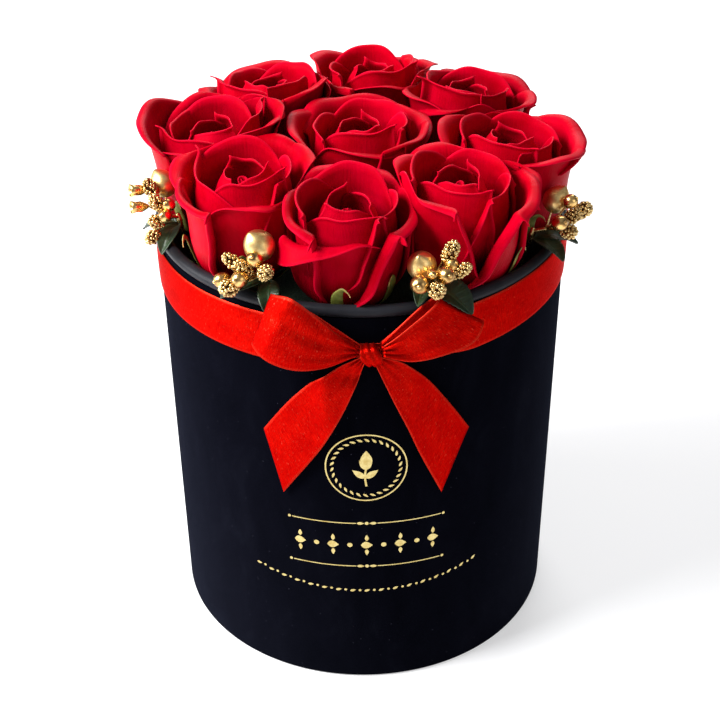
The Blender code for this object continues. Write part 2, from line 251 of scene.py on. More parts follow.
def gold_material(name, colour, rough, patina_and_reflection, grain=700, depth=0.06):
    """Gold paint, with browner patches as dark as its fourth argument says, partly tarnish and partly painted
    dark reflection of the flowers round it. A piece's own edge marks darken it too: a dark ring round a
    berry's nub, and painted shade on a bud's core.
    """
    n = Shading(name, colour, rough, 1.0)
    at = n.coords()
    cloud = n.noise(at, 420, 4, 0.62)
    # partly painted reflection: the darker, browner patches stand in for dark reflections of the flowers, as
    # well as tarnish
    dark = tuple(c * patina_and_reflection * k for c, k in zip(colour, (1.1, 0.8, 0.55)))
    body = n.ramp(cloud, (0.28, dark), (0.6, colour))
    return n.finish(
        Base_Color=n.mix(n.attribute("edge"), body, (0.07, 0.028, 0.012)),
        Roughness=n.grey(cloud, rough + 0.14, rough - 0.05),
        Normal=n.bump(n.noise(at, grain, 3, 0.6), depth * MM, 0.5),
    )


def satin_material():
    """Red satin. Its threads run along the ribbon, so its highlight is a stripe across them; fine crosswise
    weft, painted sheen in soft darker patches, painted glints as pale pinkish specks, and paler selvages. Its
    flat coordinates are in mm."""
    gloss = dict(IOR=1.05, Anisotropic=0.8, Specular_Tint=(1.0, 0.03, 0.015))
    n = Shading("satin_red", (0.66, 0.003, 0.002), 0.42, 0.72, **gloss)
    weft = n.noise(n.coords((0.28, 3.4, 1), uv=True), 1.0, 2, 0.7)
    warp = n.noise(n.coords((3.1, 0.20, 1), uv=True), 1.0, 2, 0.6)
    glints = n.noise(n.coords((0.8, 4.2, 1), uv=True), 1.0, 1, 0.5)
    sheen = n.noise(n.coords((0.10, 0.07, 1), uv=True), 1.0, 2, 0.5)
    threads = n.times(weft, n.grey(warp, 0.88, 1.12, 0.3, 0.7))
    body = n.ramp(threads, (0.30, (0.27, 0.0, 0.0)), (0.66, (0.56, 0.0055, 0.002)))
    # painted sheen: soft darker patches, some 10 mm across, in the base colour, standing in for the satin's
    # changing sheen
    body = n.mix(n.grey(sheen, 0.0, 0.42, 0.35, 0.65), body, (0.24, 0.0, 0.0005))
    # painted glints: pale pinkish specks in the base colour, where the roughness drops too
    body = n.mix(n.grey(glints, 0.0, 0.55, 0.66, 0.80), body, (0.90, 0.14, 0.08))
    return n.finish(
        Base_Color=n.mix(n.times(n.attribute("edge"), 0.40), body, (0.80, 0.06, 0.03)),
        Roughness=n.grey(glints, 0.47, 0.32, 0.35, 0.72),
        Normal=n.bump(weft, 0.14 * MM, 0.5, n.bump(warp, 0.08 * MM, 0.4)),
        Tangent=n.add("ShaderNodeTangent", 0, direction_type="UV_MAP", uv_map="UVMap"),
    )


def foil_material():
    n = Shading("foil_gold", (0.83, 0.66, 0.27), 0.34, 0.85)
    cloud = n.noise(n.coords(), 500, 3, 0.6)
    return n.finish(
        Base_Color=n.ramp(cloud, (0.3, (0.52, 0.38, 0.12)), (0.65, (0.68, 0.56, 0.24))),
        Roughness=n.grey(cloud, 0.45, 0.28),
        Normal=n.bump(cloud, 0.05 * MM, 0.5),
    )


velvet = velvet_material()
rim_black = rim_material()
carton = carton_material()
foam = foam_material()
petal_reds = [petal_material(f"petal_red_{i}", 13 * i, deep) for i, deep in enumerate((1.0, 0.93, 1.06))]
heart_red = petal_material("heart_red", 7, 0.95)
sepal_green = green_material("sepal_olive", (0.09, 0.11, 0.015), (0.26, 0.26, 0.05), (0.62, 0.42, 0.14))
stem_green = green_material("stem_green", (0.02, 0.07, 0.02), (0.045, 0.13, 0.035))
leaf_green = leaf_material()
gold_ball = gold_material("gold_satin", (1.0, 0.74, 0.32), 0.33, 0.58)
gold_berry = gold_material("gold_gloss", (0.98, 0.66, 0.25), 0.22, 0.48)
gold_grain = gold_material("gold_grain", (0.80, 0.58, 0.25), 0.22, 0.28, 1500, 0.22)
satin = satin_material()
foil = foil_material()


# ---- mesh helpers
def placed(points, matrix):
    """The points moved by a matrix, if there is one."""
    if matrix is None:
        return points
    m = np.array(matrix, float)
    return points @ m[:3, :3].T + m[:3, 3]


def stacked(*parts):
    """Points or flat coordinates from arrays that are first spread to one shape."""
    return np.stack(np.broadcast_arrays(*parts), -1)


class Mesh:
    """Gathers vertices, faces, flat coordinates and two weights, edge and low, for one piece."""

    def __init__(self):
        self.verts, self.faces, self.uvs, self.marks = [], [], [], {"edge": [], "low": []}
        self.count = 0

    def add(self, points, faces, uv=None, edge=None, low=None):
        points = np.asarray(points, float).reshape(-1, 3)
        n = len(points)
        self.verts.append(points)
        self.faces += [tuple(i + self.count for i in f) for f in faces]
        self.uvs.append(np.zeros((n, 2)) if uv is None else np.asarray(uv, float).reshape(-1, 2))
        for key, mark in (("edge", edge), ("low", low)):
            self.marks[key].append(np.zeros(n) if mark is None else np.asarray(mark, float).ravel())
        self.count += n

    def build(self, name, mat, body, slot, matrix=None, thickness=0.0, smooth=True):
        data = bpy.data.meshes.new(name)
        data.from_pydata(placed(np.concatenate(self.verts), matrix).tolist(), [], self.faces)
        layer = data.uv_layers.new(name="UVMap")
        flat = np.concatenate(self.uvs)
        index = np.zeros(len(data.loops), np.int32)
        data.loops.foreach_get("vertex_index", index)
        layer.data.foreach_set("uv", flat[index].astype(np.float32).ravel())
        for key, parts in self.marks.items():
            attribute = data.attributes.new(key, "FLOAT", "POINT")
            attribute.data.foreach_set("value", np.concatenate(parts).astype(np.float32))
        data.polygons.foreach_set("use_smooth", np.full(len(data.polygons), smooth))
        data.validate()
        obj = bpy.data.objects.new(name, data)
        scene.collection.objects.link(obj)
        data.materials.append(mat)
        if thickness:
            solid = obj.modifiers.new("thickness", "SOLIDIFY")
            solid.thickness = thickness
            solid.offset = 0
        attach(obj, body)
        return obj


def grid(rows, cols, wrap=False, around=False):
    """Quads over a grid of points. wrap joins the last column to the first, around the last row."""
    faces = []
    for i in range(rows if around else rows - 1):
        for j in range(cols if wrap else cols - 1):
            below, right = (i + 1) % rows, (j + 1) % cols
            faces.append((i * cols + j, i * cols + right, below * cols + right, below * cols + j))
    return faces


def lathe(mesh, profile, steps, closed=False, matrix=None):
    """Turns a run of (radius, height) points about Z."""
    turn = np.linspace(0, TURN, steps, endpoint=False)
    radius, height = np.asarray(profile, float).T[..., None]
    points = stacked(radius * np.cos(turn), radius * np.sin(turn), height).reshape(-1, 3)
    faces = grid(len(profile), steps, wrap=True)
    last = (len(profile) - 1) * steps
    if closed:
        faces += [(last + j, last + (j + 1) % steps, (j + 1) % steps, j) for j in range(steps)]
    else:
        faces += [tuple(range(steps))[::-1], tuple(range(last, last + steps))]
    mesh.add(placed(points, matrix), faces)


def smooth(t):
    t = np.clip(t, 0, 1)
    return t * t * (3 - 2 * t)


def spline(points, count):
    """A smooth run through the control points, as count rows."""
    p = np.asarray(points, float)
    p = np.concatenate([2 * p[:1] - p[1:2], p, 2 * p[-1:] - p[-2:-1]])
    t = np.linspace(0, len(p) - 3, count)
    i = np.minimum(t.astype(int), len(p) - 4)
    f = (t - i)[:, None]
    a, b, c, d = p[i], p[i + 1], p[i + 2], p[i + 3]
    return 0.5 * (2 * b + (c - a) * f + (2 * a - 5 * b + 4 * c - d) * f**2 + (3 * b - a - 3 * c + d) * f**3)


def on_wall(theta, z, r):
    """Points from angles in degrees, heights and radii in mm."""
    turn = np.radians(theta)
    return stacked(r * np.cos(turn), r * np.sin(turn), z) * MM


def along_axis(axis, origin):
    """The frame of a piece that lifts out: Z along its axis, X away from the box axis."""
    out = Vector((axis.x, axis.y, 0))
    out = out.normalized() if out.length > 1e-6 else Vector((1, 0, 0))
    across = axis.cross(out).normalized()
    return Matrix.Translation(origin) @ Matrix((across.cross(axis), across, axis)).transposed().to_4x4()


# ---- box
WALL_STEPS = 192
WALL_FOOT = 0.6 * MM
WALL_TOP = RIM_LOW - 0.3 * MM


def rounded(points, radius, steps=6):
    """Rounds the corners of a closed (radius, height) outline."""
    out = []
    points = [np.array(p, float) for p in points]
    for i, corner in enumerate(points):
        before, after = points[i - 1] - corner, points[(i + 1) % len(points)] - corner
        cut = min(radius, np.linalg.norm(before) / 2.1, np.linalg.norm(after) / 2.1)
        a = corner + before / np.linalg.norm(before) * cut
        b = corner + after / np.linalg.norm(after) * cut
        for s in np.linspace(0, 1, steps):
            out.append((1 - s) ** 2 * a + 2 * s * (1 - s) * corner + s * s * b)
    return out


def wall(inner, outer, low, high, radius):
    """A turned wall with rounded edges."""
    mesh = Mesh()
    outline = [(inner, low), (outer, low), (outer, high), (inner, high)]
    lathe(mesh, rounded(outline, radius), WALL_STEPS, closed=True)
    return mesh


skin = wall(CARTON_R + 0.3 * MM, BOX_R, WALL_FOOT, WALL_TOP + WALL_FOOT, 0.9 * MM)
velvet_skin = skin.build("velvet_skin", velvet, "box", "velvet")
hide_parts("velvet_wrap")

tube = wall(WALL_INNER, CARTON_R, 0, WALL_TOP, 0.5 * MM)
carton_tube = tube.build("carton_tube", carton, "box", "carton")
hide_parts("tube_wall")

roll = Mesh()
middle, half = (RIM_R + WALL_INNER) / 2, (RIM_R - WALL_INNER) / 2
rise = (RIM_TOP - RIM_LOW) / 2
turns = np.linspace(-TURN / 4, TURN * 3 / 4, 28, endpoint=False)
round_rim = [(middle + half * math.cos(t), RIM_LOW + rise + rise * math.sin(t)) for t in turns]
lathe(roll, round_rim, WALL_STEPS, closed=True)
rim_roll = roll.build("rim_roll", rim_black, "box", "rolled_rim")
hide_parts("rim_bead")

for node, mat in (("base_disc", carton), ("foam_block", foam)):
    frame["nodes"][node].data.materials.clear()
    frame["nodes"][node].data.materials.append(mat)


# ---- gold foil ornament
class Foil:
    """Thin raised shapes pressed on the wall. Flat x runs round the wall from the front, in mm."""

    PROUD, SUNK = 0.10, -0.05

    def __init__(self):
        self.mesh = Mesh()

    def wrap(self, flat, lift):
        flat = np.asarray(flat, float) * MM
        turn = flat[:, 0] / BOX_R - math.pi / 2
        r = BOX_R + lift * MM
        return np.stack([r * np.cos(turn), r * np.sin(turn), flat[:, 1]], -1)

    def plate(self, outline):
        n = len(outline)
        faces = [(j, (j + 1) % n, n + (j + 1) % n, n + j)[::-1] for j in range(n)]
        faces += [tuple(range(n)), tuple(range(n, 2 * n))[::-1]]
        self.mesh.add(np.concatenate([self.wrap(outline, self.PROUD), self.wrap(outline, self.SUNK)]), faces)

    def line(self, points, width, closed=False):
        p = np.asarray(points, float)
        ahead = np.roll(p, -1, 0) - np.roll(p, 1, 0)
        if not closed:
            ahead[0], ahead[-1] = p[1] - p[0], p[-1] - p[-2]
        side = np.stack([-ahead[:, 1], ahead[:, 0]], -1)
        side *= width / 2 / np.linalg.norm(side, axis=1, keepdims=True)
        corners = ((-1, self.PROUD), (1, self.PROUD), (1, self.SUNK), (-1, self.SUNK))
        ring = [self.wrap(p + hand * side, lift) for hand, lift in corners]
        n = len(p)
        faces = [(a, d, c, b) for a, b, c, d in grid(n, 4, wrap=True, around=closed)]
        if not closed:
            faces += [(0, 1, 2, 3), (4 * n - 1, 4 * n - 2, 4 * n - 3, 4 * n - 4)]
        self.mesh.add(np.stack(ring, 1).reshape(-1, 3), faces)

    def dot(self, x, z, r, steps=14):
        turn = np.linspace(0, TURN, steps, endpoint=False)
        self.plate(np.stack([x + r * np.cos(turn), z + r * np.sin(turn)], -1))

    def leaf(self, x, z, degrees, length, width):
        t = np.linspace(0, 1, 9)
        half = width / 2 * np.sin(math.pi * t**0.8)
        shape = np.concatenate([np.stack([t * length, half], -1), np.stack([t * length, -half], -1)[-2:0:-1]])
        a = math.radians(degrees)
        turn = np.array([[math.cos(a), math.sin(a)], [-math.sin(a), math.cos(a)]])
        self.plate(shape @ turn + (x, z))

    def build(self, name):
        self.mesh.build(name, foil, "box", "velvet", smooth=False)


PRINT_X = 1.0
WREATH_Z, WREATH_R = 110.0, 15.4
RULE_TOP, RULE_LOW = 83.2, 61.4
GARLAND_Z, GARLAND_SAG = 48.6, 5.4


def foil_wreath():
    """A ring of line and slanted leaves round a rosebud."""
    wreath = Foil()
    turn = np.linspace(0, TURN, 72, endpoint=False)
    ring = stacked(PRINT_X + WREATH_R * np.cos(turn), WREATH_Z + WREATH_R * np.sin(turn))
    wreath.line(ring, 0.55, closed=True)
    for k in range(30):
        a = TURN * k / 30
        spot = PRINT_X + 12.4 * math.cos(a), WREATH_Z + 12.4 * math.sin(a)
        wreath.leaf(*spot, math.degrees(a) + 62, 2.5, 0.95)
    stem = [(PRINT_X, WREATH_Z - 8.6), (PRINT_X - 0.5, WREATH_Z - 4), (PRINT_X, WREATH_Z + 0.6)]
    wreath.line(spline(stem, 14), 0.75)
    for side in (-1, 1):
        wreath.leaf(PRINT_X - 0.4, WREATH_Z - 4.8, 90 - side * 52, 6.2, 2.7)
        wreath.leaf(PRINT_X - 0.2, WREATH_Z - 0.8, 90 - side * 28, 5.2, 2.0)
    wreath.leaf(PRINT_X, WREATH_Z + 0.2, 90, 8.0, 4.6)
    wreath.build("foil_wreath")


def foil_rules():
    """Two rules that end in dots, and a row of small flowers and dots between them."""
    rules = Foil()
    for z in (RULE_TOP, RULE_LOW):
        for side in (-1, 1):
            xs = np.linspace(4.2, 29.5, 24)
            rules.line(stacked(PRINT_X + side * xs, z)[::side], 0.42)
            rules.dot(PRINT_X + side * 30.6, z, 0.62)
            rules.leaf(PRINT_X + side * 3.9, z, 90 - side * 90, -3.0, 1.3)
        rules.dot(PRINT_X, z, 0.75)
    middle_z = (RULE_TOP + RULE_LOW) / 2 - 0.1
    for k in range(-4, 5):
        x = PRINT_X + 6.6 * k
        if k % 2:
            rules.dot(x, middle_z, 1.05)
            continue
        rules.leaf(x - 2.3, middle_z, 0, 4.6, 3.4)
        for side in (-1, 1):
            rules.leaf(x, middle_z + side * 2.1, side * 90, 3.1, 1.5)
    rules.build("foil_rules")


def foil_garland():
    """Dots and small leaves along a hanging curve."""
    garland = Foil()
    for k in range(-16, 17):
        x = PRINT_X + 2.85 * k
        z = GARLAND_Z + GARLAND_SAG * (k / 16) ** 2
        if k % 2:
            garland.dot(x, z, 0.55)
        else:
            garland.leaf(x - 1.1, z - 0.5, 20 + 22 * k / 16, 2.4, 1.15)
    garland.build("foil_garland")


foil_wreath()
foil_rules()
foil_garland()


# ---- ribbon
GATHERED_WIDTH, GATHERED_Z = 5.0, 163.4
CLEARANCE = 0.75
BAND_TILT = 4.3
KNOT_Z, KNOT_R = 164.2, 85.6


def satin_piece(name, points, faces, w, along, thickness=0.35 * MM):
    """A satin mesh. w runs from -1 to 1 between its edges and along is its length so far, in mm."""
    mesh = Mesh()
    edge = np.broadcast_to(smooth((np.abs(w) - 0.93) / 0.05), points.shape[:2])
    mesh.add(points, faces, stacked((w + 1) * 10, along), edge)
    return mesh.build(name, satin, "box", "satin", thickness=thickness)


def ribbon(name, flat, stations, wrinkle, left, right):
    """A ribbon between two edge runs given as (angle, height, radius) control points."""
    w = np.linspace(0, 1, 21)
    edges = [on_wall(*spline(run, stations).T)[:, None] for run in (left, right)]
    points = edges[0] * (1 - w)[None, :, None] + edges[1] * w[None, :, None]
    normal = np.cross(np.gradient(points, axis=0), np.gradient(points, axis=1))
    normal /= np.maximum(np.linalg.norm(normal, axis=-1, keepdims=True), 1e-12)
    t = np.linspace(0, 1, stations)[:, None]
    points = points + normal * wrinkle(t, w[None, :])[..., None] * MM
    reach = np.hypot(points[..., 0], points[..., 1])
    least = BOX_R + CLEARANCE * MM
    away = np.where(reach < least + 1 * MM, least + np.exp((reach - least - 1 * MM) / MM) * MM, reach)
    points[..., :2] *= (away / reach)[..., None]
    along = np.cumsum(np.concatenate([[0], np.linalg.norm(np.diff(points.mean(1), axis=0), axis=1)])) / MM
    piece = satin_piece(f"satin_{name}", points, grid(stations, len(w)), w[None, :] * 2 - 1, along[:, None])
    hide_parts(f"bow_{name}")


def band():
    """The ribbon round the rim. It is drawn together into pleats where it enters the knot."""
    steps, across = 288, 17
    degrees = KNOT_ANGLE + np.linspace(0, 360, steps + 1)[:-1]
    away = np.abs((degrees - KNOT_ANGLE + 180) % 360 - 180)
    spread = smooth((away - 4) / 25)[:, None]
    w = np.linspace(-1, 1, across)[None, :]
    width = GATHERED_WIDTH + ((BAND_TOP - BAND_LOW) / MM * 0.965 - GATHERED_WIDTH) * spread
    past = (degrees - KNOT_ANGLE) % 360
    tilt = BAND_TILT * smooth(past / 62) * (1 - smooth((past - 75) / 170))
    centre = GATHERED_Z + ((BAND_TOP + BAND_LOW) / 2 / MM - GATHERED_Z) * spread + tilt[:, None]
    z = centre + w / 2 * width + 0.25 * np.sin(np.radians(degrees * 3))[:, None]
    pleat = (1 - spread) * 0.55 * np.cos(w * 4 * math.pi)
    ripple = 0.14 * np.sin(np.radians(degrees * 7))[:, None]
    points = on_wall(degrees[:, None], z, BOX_R / MM + CLEARANCE + pleat + ripple + 0.22 * (1 - w**2))
    along = np.radians(degrees - degrees[0])[:, None] * BOX_R / MM
    faces = [(a, d, c, b) for a, b, c, d in grid(steps, across, around=True)]
    piece = satin_piece("satin_band", points, faces, w, along)
    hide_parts("ribbon_band")


def loop_lift(depth, phase, valley):
    """Pleats that run out of the knot and die away, and a shallow valley along the front face."""

    def lift(t, w):
        near = np.exp(-t / 0.13) + np.exp(-(1 - t) / 0.16)
        pleats = depth * near * np.cos(3 * TURN * w + phase)
        face = smooth((t - 0.55) / 0.12) * smooth((1 - t) / 0.15)
        fold = np.exp(-(((w - 0.42 - 0.5 * (t - 0.8)) / 0.10) ** 2)) * face
        return pleats - valley * (1 - (2 * w - 1) ** 2) * face + 0.55 * fold

    return lift


def tail_lift(depth, curl, *swells):
    """Pleats below the knot, swells that catch the light and a cut end that turns under.

    Each swell is its height, its place along the tail, its slant, its length and its weights at the
    two edges.
    """

    def lift(t, w):
        out = depth * np.exp(-t / 0.16) * np.cos(3 * TURN * w) + 0.5 * np.sin(4.2 * t + 2.4 * w) * t
        for height, place, slant, length, at_left, at_right in swells:
            weight = at_left + (at_right - at_left) * smooth(w)
            out = out + height * weight * np.exp(-(((t - place - slant * (w - 0.5)) / length) ** 2))
        return out - curl * smooth((t - 0.45) / 0.55) ** 1.3

    return lift


# The bow's ribbons: flat size, stations, wrinkles and two edges of (angle, height, radius). A loop
# goes from the knot along its back layer, round the outer fold and back to the knot.
BOW = {
    "loop_left": (
        (0.020, 0.074), 90, loop_lift(0.8, 0.0, 1.3),
        [(-90.5, 167.6, 83.5), (-96, 173.0, 82.8), (-102, 178.5, 82.4), (-108, 182.6, 82.4),
         (-111.8, 184.6, 84.0), (-110.4, 186.2, 86.2), (-105.8, 186.8, 88.2), (-101, 182.6, 89.4),
         (-96, 175.4, 89.0), (-91.5, 168.9, 87.6)],
        [(-90.5, 162.5, 83.5), (-96, 161.5, 82.8), (-103, 161.5, 83.0), (-110, 163.5, 84.0),
         (-115.4, 166.0, 86.8), (-115.6, 165.6, 89.8), (-111.5, 162.6, 92.6), (-105, 161.2, 93.6),
         (-98.5, 162.2, 92.0), (-91.5, 164.8, 87.8)],
    ),
    "loop_right": (
        (0.020, 0.068), 90, loop_lift(0.8, 0.9, 1.0),
        [(-85.5, 167.8, 83.5), (-81.5, 172.8, 82.8), (-77.5, 178.2, 82.5), (-74.0, 182.4, 82.6),
         (-72.2, 184.3, 84.0), (-72.6, 183.6, 86.0), (-75.2, 181.2, 87.8), (-78.8, 177.4, 88.6),
         (-82.2, 172.8, 88.4), (-85.2, 168.9, 87.6)],
        [(-85.5, 162.5, 83.5), (-79.5, 162.6, 82.8), (-73, 164.6, 83.4), (-66.5, 169.0, 85.5),
         (-62.4, 173.2, 88.2), (-62.2, 173.0, 90.8), (-65.2, 168.2, 92.8), (-71.8, 166.0, 93.2),
         (-78.8, 163.9, 91.2), (-85.2, 165.0, 87.8)],
    ),
    "tail_left": (
        (0.020, 0.062), 64,
        tail_lift(0.7, 0.7, (3.2, 0.50, 0.26, 0.13, 1.0, 0.3), (-1.6, 0.24, -0.15, 0.09, 0.3, 1.0)),
        [(-90.5, 162.5, 84.2), (-96, 158.0, 83.8), (-102, 151.5, 83.4), (-109, 140.0, 83.2),
         (-117.3, 123.3, 81.9)],
        [(-89.4, 161.0, 84.4), (-91.6, 151.0, 85.2), (-95.5, 136.5, 85.0), (-101.5, 119.0, 83.6),
         (-112.2, 95.2, 81.6)],
    ),
    "tail_right": (
        (0.020, 0.062), 64,
        tail_lift(0.7, 0.8, (2.4, 0.42, -0.15, 0.15, 0.9, 0.5), (1.0, 0.76, 0.2, 0.12, 0.2, 1.0)),
        [(-87.4, 161.0, 84.2), (-84.6, 150.5, 84.6), (-79.8, 133.0, 84.2), (-75.0, 115.5, 82.8),
         (-68.4, 94.6, 81.5)],
        [(-86.0, 162.5, 84.0), (-80.0, 159.0, 83.8), (-74.6, 151.5, 83.4), (-69.0, 140.5, 82.8),
         (-61.0, 122.6, 81.9)],
    ),
}


def knot():
    """The short wrap over the middle of the bow, with folds that run over it from top to bottom."""
    around, across = 44, 17
    turn = np.linspace(0, TURN, around, endpoint=False)[:, None]
    w = np.linspace(-1, 1, across)[None, :]
    waist = 1 - 0.20 * w**4 + 0.10 * np.cos(w * 2.6 * math.pi + 1.9 * np.sin(turn))
    out = 3.3 * np.sign(np.cos(turn)) * np.abs(np.cos(turn)) ** 0.8 * waist
    up = 3.7 * np.sign(np.sin(turn)) * np.abs(np.sin(turn)) ** 0.8 * waist
    side = w * (3.1 + 0.5 * np.cos(2 * turn) + 0.35 * np.sin(turn)) - 0.25 * up
    a = math.radians(KNOT_ANGLE)
    outward, sideways = np.array([math.cos(a), math.sin(a), 0]), np.array([-math.sin(a), math.cos(a), 0])
    offset = out[..., None] * outward + side[..., None] * sideways + up[..., None] * np.array([0, 0, 1])
    points = on_wall(KNOT_ANGLE, KNOT_Z, KNOT_R) + offset * MM
    piece = satin_piece("satin_knot", points, grid(around, across, around=True), w, turn * 4, 0.45 * MM)
    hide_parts("bow_knot")


band()
for bow_name, bow_rows in BOW.items():
    ribbon(bow_name, *bow_rows)
knot()


# ---- roses
FOOT = 6


def ring_cell(turn, axis_distance=56.0, outward=33.0, inward=27.5):
    """Room round one rose of the ring: two planes through the box axis, the middle rose and a cap."""
    share = math.tan(math.radians(22.5))
    gap = np.abs(np.sin(turn)) - share * np.cos(turn)
    planes = np.where(gap > 0.05, 0.985 * axis_distance * share / np.maximum(gap, 0.05), 1e3)
    ends = inward + (outward - inward) * (0.5 + 0.5 * np.cos(turn))
    return np.minimum(planes, ends)


def middle_cell(turn):
    return 28.5 + 0 * turn


def profile_run(*points):
    """A smooth (radius, height) run: its arc length, radius, height and direction angle."""
    run = spline(points, 160)
    step = np.diff(run, axis=0)
    along = np.concatenate([[0], np.cumsum(np.hypot(*step.T))])
    angle = np.arctan2(step[:, 1], step[:, 0])
    return along, run[:, 0], run[:, 1], np.concatenate([angle, angle[-1:]])


# The whorls from the heart outwards, in mm and degrees. A petal spans half_angle to each side along
# the run. hang and corner lower the tucked and the free end of its upper edge. lip and fold turn
# that edge outward and crisp says how gently, as side_roll, side_radius and side_turn do at the
# free side. tuck moves the free side out over the next petal, facet flattens the middle, and uneven
# and wave make the petals differ.
WHORLS = (
    SimpleNamespace(
        n=3, run=profile_run((4, 14), (9.4, 17), (12.6, 24), (12.4, 31), (10.4, 37.5), (7.8, 41.8)),
        half_angle=74, uneven=0.015, hang=(0.10, 0.18), corner=(-0.08, -0.02), wave=0.2, lip=1.2,
        fold=40, crisp=0.8, side_roll=1.4, side_radius=1.2, side_turn=0.4, tuck=0.7, facet=1.2,
    ),
    SimpleNamespace(
        n=4, run=profile_run((5, 8), (12.8, 11.5), (16.8, 21), (17.9, 32), (17.2, 38), (17.0, 43.8)),
        half_angle=66, uneven=0.04, hang=(0.20, 0.32), corner=(-0.11, -0.04), wave=0.35, lip=2.6,
        fold=54, crisp=0.7, side_roll=3.6, side_radius=1.4, side_turn=1.2, tuck=1.5, facet=1.2,
    ),
    SimpleNamespace(
        n=5, run=profile_run((5, 1.5), (12, 3), (18.6, 9), (21.8, 19), (22.8, 30), (25.2, 44)),
        half_angle=60, uneven=0.05, hang=(0.18, 0.30), corner=(-0.09, 0.01), wave=0.7, lip=7.2,
        fold=112, crisp=0.5, side_roll=7.0, side_radius=1.5, side_turn=1.7, tuck=2.0, facet=0.4,
    ),
)

# The middle and outer whorls of the roses seen from the front. Each petal: direction, free side,
# hood, droop, lean, layer and lips, and where they differ from a plain petal's, tall and side.
PETALS = {
    "front": (
        [(-100, 1, 0, 0, -0.2, -0.3, 0.7), (-22, -1, 0.1, 0, -0.4, 1.0, 1.3), (72, 1, 0.8, 0, 0, 0, 1),
         (165, 1, 0.3, 0, 0, 0.4, 0.8)],
        [(-106, -1, 0, 0.75, -0.06, 0.9, 1.0, 0, 0), (-24, -1, 0.1, 0, -0.66, 1.4, 0.9),
         (46, -1, 0.95, 0, 0, 0, 1.1), (118, 1, 0.8, 0, 0, -0.6, 0.9), (-172, 1, 0.2, 0, 0.2, -0.6, 0.7)],
    ),
    "front_left": (
        [(-155, -1, 0, 0, 0.1, 0.5, 0.6), (-92, 1, 0, 0, -0.1, -0.6, 0.6), (-14, -1, 0.1, 0, -0.5, 0.9, 0.9),
         (95, 1, 0.8, 0, 0, 0, 1)],
        [(-168, 1, 0, 0, 0.30, 1.0, 0.5), (-74, 1, 0, 0.15, -0.15, -0.2, 1.0), (14, 1, 0.6, 0, 0, 0.5, 1.1),
         (88, -1, 0.9, 0, 0, -0.3, 0.9), (146, -1, 0.9, 0, 0, 0.6, 0.9)],
    ),
    "front_right": (
        [(-122, 1, 0, 0, 0.1, -0.3, 0.5), (-30, -1, 0.1, 0, -0.55, 1.1, 1.3), (62, -1, 0.8, 0, 0, 0, 1),
         (155, 1, 0.3, 0, 0, 0.4, 0.8)],
        [(-130, 1, 0, 0, -0.5, 0, 0.45), (-24, -1, 0.1, 0, -0.8, 1.6, 0.8), (34, -1, 0.85, 0, 0, 0.4, 1.0),
         (98, -1, 0.95, 0, 0, -0.2, 1.1), (168, 1, 0.5, 0, 0, -0.4, 0.8)],
    ),
    "left": (
        [(-110, -1, 0, 0, 0.1, 0.3, 0.6), (-20, 1, 0.3, 0, 0.2, 0.6, 1.5), (80, 1, 0.8, 0, 0, 0, 1),
         (170, -1, 0.4, 0, 0, 0.4, 0.6)],
        [(-120, 1, 0, 0, 0.1, -0.4, 0.5), (-42, 1, 0.2, 0, 0.1, 0.4, 0.9, 0.04),
         (26, -1, 0.8, 0, 0, 0.3, 1.2, 0.03), (98, -1, 0.8, 0, 0, -0.2, 0.6, 0.06),
         (172, -1, 0.9, 0, 0, 2.2, 0.5, 0.10)],
    ),
    "right": (
        [(-125, 1, 0, 0, 0.1, 0.3, 0.6), (-35, -1, 0.1, 0, -0.3, 0.6, 0.8), (60, -1, 0.8, 0, 0, 0, 1),
         (150, 1, 0.5, 0, 0, 0.4, 0.8)],
        [(-132, 1, 0, 0, 0, -0.2, 0.6), (-52, 1, 0.6, 0, 0, 0.4, 0.7, 0, 0.3),
         (12, 1, 0.8, 0, 0, 1.6, 0.9, 0.05, 0.4), (84, -1, 0.9, 0, 0, 0, 1.1, 0.03),
         (156, -1, 0.8, 0, 0, 0.4, 0.9)],
    ),
    "centre": (
        [(-105, 1, 0, 0, 0, -0.3, 0.6), (-8, -1, 0.1, 0, -0.5, 0.9, 0.9), (78, -1, 0.8, 0, 0, 0, 1),
         (168, 1, 0.5, 0, 0, 0.4, 0.8)],
        [(-98, 1, 0, 0, 0, 0, 0.6), (-30, -1, 0.3, 0, -0.2, 0.8, 0.6), (34, 1, 0.9, 0, 0, 0.3, 1.1),
         (108, -1, 0.95, 0, 0, -0.2, 1.1), (178, 1, 0.6, 0, 0, 0.5, 0.9)],
    ),
}


